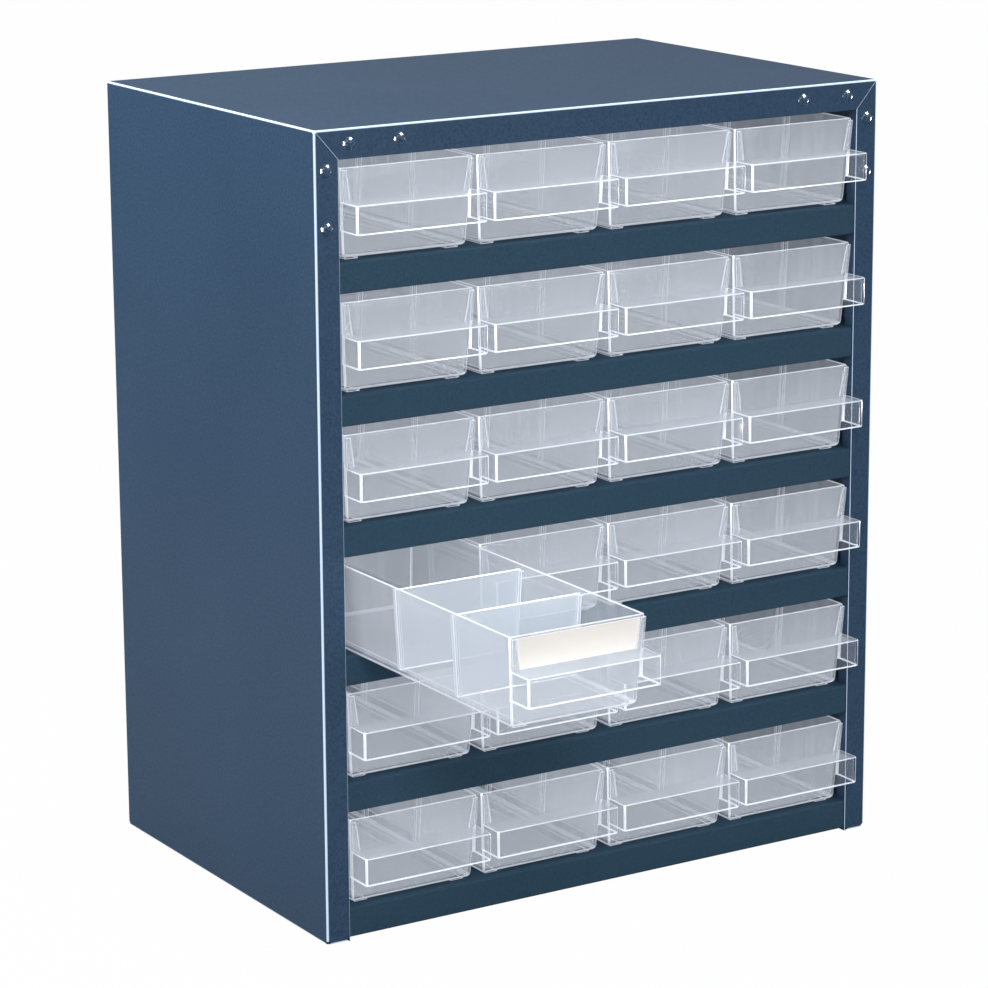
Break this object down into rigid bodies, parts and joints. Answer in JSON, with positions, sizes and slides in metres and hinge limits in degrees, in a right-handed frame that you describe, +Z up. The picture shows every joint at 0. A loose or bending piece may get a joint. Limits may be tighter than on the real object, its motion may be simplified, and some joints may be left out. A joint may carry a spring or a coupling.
{
  "type": "parts bin cabinet",
  "caption": "Folded steel cabinet with rows of clear pull-out drawers for small parts, each with a label pocket and a finger handle; one drawer stands open.",
  "frame": {"origin": "on the floor, under the middle of the box round the whole object as it stands at rest, with one drawer pulled out", "axes": "+Z up; the drawers face -Y and slide out along -Y; +X is to the right of someone facing the drawers"},
  "size_m": [0.357, 0.41, 0.435],
  "materials": {
    "blue_steel": "satin powder coat with fine orange peel",
    "rivet_paint": "glossier paint over domed rivets",
    "clear_plastic": "clear moulded polystyrene, bright edges",
    "divider_plastic": "slightly milky moulded plastic",
    "card": "plain white card"
  },
  "bodies": {
    "cabinet": {"casing": "blue_steel", "back_panel": "blue_steel", "shelf_1": "blue_steel", "shelf_2": "blue_steel", "shelf_3": "blue_steel", "shelf_4": "blue_steel", "shelf_5": "blue_steel", "bottom_shelf": "blue_steel", "corner_plate_left": "blue_steel", "corner_plate_right": "blue_steel", "corner_rivets": "rivet_paint"},
    "drawer_r1c1": {"drawer_r1c1": "clear_plastic"},
    "drawer_r1c2": {"drawer_r1c2": "clear_plastic"},
    "drawer_r1c3": {"drawer_r1c3": "clear_plastic"},
    "drawer_r1c4": {"drawer_r1c4": "clear_plastic"},
    "drawer_r2c1": {"drawer_r2c1": "clear_plastic"},
    "drawer_r2c2": {"drawer_r2c2": "clear_plastic"},
    "drawer_r2c3": {"drawer_r2c3": "clear_plastic"},
    "drawer_r2c4": {"drawer_r2c4": "clear_plastic"},
    "drawer_r3c1": {"drawer_r3c1": "clear_plastic"},
    "drawer_r3c2": {"drawer_r3c2": "clear_plastic"},
    "drawer_r3c3": {"drawer_r3c3": "clear_plastic"},
    "drawer_r3c4": {"drawer_r3c4": "clear_plastic"},
    "drawer_r4c1": {"drawer_r4c1": "clear_plastic", "divider_1": "divider_plastic", "divider_2": "divider_plastic", "label_card": "card"},
    "drawer_r4c2": {"drawer_r4c2": "clear_plastic"},
    "drawer_r4c3": {"drawer_r4c3": "clear_plastic"},
    "drawer_r4c4": {"drawer_r4c4": "clear_plastic"},
    "drawer_r5c1": {"drawer_r5c1": "clear_plastic"},
    "drawer_r5c2": {"drawer_r5c2": "clear_plastic"},
    "drawer_r5c3": {"drawer_r5c3": "clear_plastic"},
    "drawer_r5c4": {"drawer_r5c4": "clear_plastic"},
    "drawer_r6c1": {"drawer_r6c1": "clear_plastic"},
    "drawer_r6c2": {"drawer_r6c2": "clear_plastic"},
    "drawer_r6c3": {"drawer_r6c3": "clear_plastic"},
    "drawer_r6c4": {"drawer_r6c4": "clear_plastic"}
  },
  "joints": [
    {"name": "drawer_r1c1_slide", "type": "slide", "parent": "cabinet", "child": "drawer_r1c1", "axis": [0, -1, 0], "range_m": [0, 0.2174]},
    {"name": "drawer_r1c2_slide", "type": "slide", "parent": "cabinet", "child": "drawer_r1c2", "axis": [0, -1, 0], "range_m": [0, 0.2174]},
    {"name": "drawer_r1c3_slide", "type": "slide", "parent": "cabinet", "child": "drawer_r1c3", "axis": [0, -1, 0], "range_m": [0, 0.2174]},
    {"name": "drawer_r1c4_slide", "type": "slide", "parent": "cabinet", "child": "drawer_r1c4", "axis": [0, -1, 0], "range_m": [0, 0.2174]},
    {"name": "drawer_r2c1_slide", "type": "slide", "parent": "cabinet", "child": "drawer_r2c1", "axis": [0, -1, 0], "range_m": [0, 0.2174]},
    {"name": "drawer_r2c2_slide", "type": "slide", "parent": "cabinet", "child": "drawer_r2c2", "axis": [0, -1, 0], "range_m": [0, 0.2174]},
    {"name": "drawer_r2c3_slide", "type": "slide", "parent": "cabinet", "child": "drawer_r2c3", "axis": [0, -1, 0], "range_m": [0, 0.2174]},
    {"name": "drawer_r2c4_slide", "type": "slide", "parent": "cabinet", "child": "drawer_r2c4", "axis": [0, -1, 0], "range_m": [0, 0.2174]},
    {"name": "drawer_r3c1_slide", "type": "slide", "parent": "cabinet", "child": "drawer_r3c1", "axis": [0, -1, 0], "range_m": [0, 0.2174]},
    {"name": "drawer_r3c2_slide", "type": "slide", "parent": "cabinet", "child": "drawer_r3c2", "axis": [0, -1, 0], "range_m": [0, 0.2174]},
    {"name": "drawer_r3c3_slide", "type": "slide", "parent": "cabinet", "child": "drawer_r3c3", "axis": [0, -1, 0], "range_m": [0, 0.2174]},
    {"name": "drawer_r3c4_slide", "type": "slide", "parent": "cabinet", "child": "drawer_r3c4", "axis": [0, -1, 0], "range_m": [0, 0.2174]},
    {"name": "drawer_r4c1_slide", "type": "slide", "parent": "cabinet", "child": "drawer_r4c1", "axis": [0, -1, 0], "range_m": [-0.16, 0.0574]},
    {"name": "drawer_r4c2_slide", "type": "slide", "parent": "cabinet", "child": "drawer_r4c2", "axis": [0, -1, 0], "range_m": [0, 0.2174]},
    {"name": "drawer_r4c3_slide", "type": "slide", "parent": "cabinet", "child": "drawer_r4c3", "axis": [0, -1, 0], "range_m": [0, 0.2174]},
    {"name": "drawer_r4c4_slide", "type": "slide", "parent": "cabinet", "child": "drawer_r4c4", "axis": [0, -1, 0], "range_m": [0, 0.2174]},
    {"name": "drawer_r5c1_slide", "type": "slide", "parent": "cabinet", "child": "drawer_r5c1", "axis": [0, -1, 0], "range_m": [0, 0.2174]},
    {"name": "drawer_r5c2_slide", "type": "slide", "parent": "cabinet", "child": "drawer_r5c2", "axis": [0, -1, 0], "range_m": [0, 0.2174]},
    {"name": "drawer_r5c3_slide", "type": "slide", "parent": "cabinet", "child": "drawer_r5c3", "axis": [0, -1, 0], "range_m": [0, 0.2174]},
    {"name": "drawer_r5c4_slide", "type": "slide", "parent": "cabinet", "child": "drawer_r5c4", "axis": [0, -1, 0], "range_m": [0, 0.2174]},
    {"name": "drawer_r6c1_slide", "type": "slide", "parent": "cabinet", "child": "drawer_r6c1", "axis": [0, -1, 0], "range_m": [0, 0.2174]},
    {"name": "drawer_r6c2_slide", "type": "slide", "parent": "cabinet", "child": "drawer_r6c2", "axis": [0, -1, 0], "range_m": [0, 0.2174]},
    {"name": "drawer_r6c3_slide", "type": "slide", "parent": "cabinet", "child": "drawer_r6c3", "axis": [0, -1, 0], "range_m": [0, 0.2174]},
    {"name": "drawer_r6c4_slide", "type": "slide", "parent": "cabinet", "child": "drawer_r6c4", "axis": [0, -1, 0], "range_m": [0, 0.2174]}
  ]
}
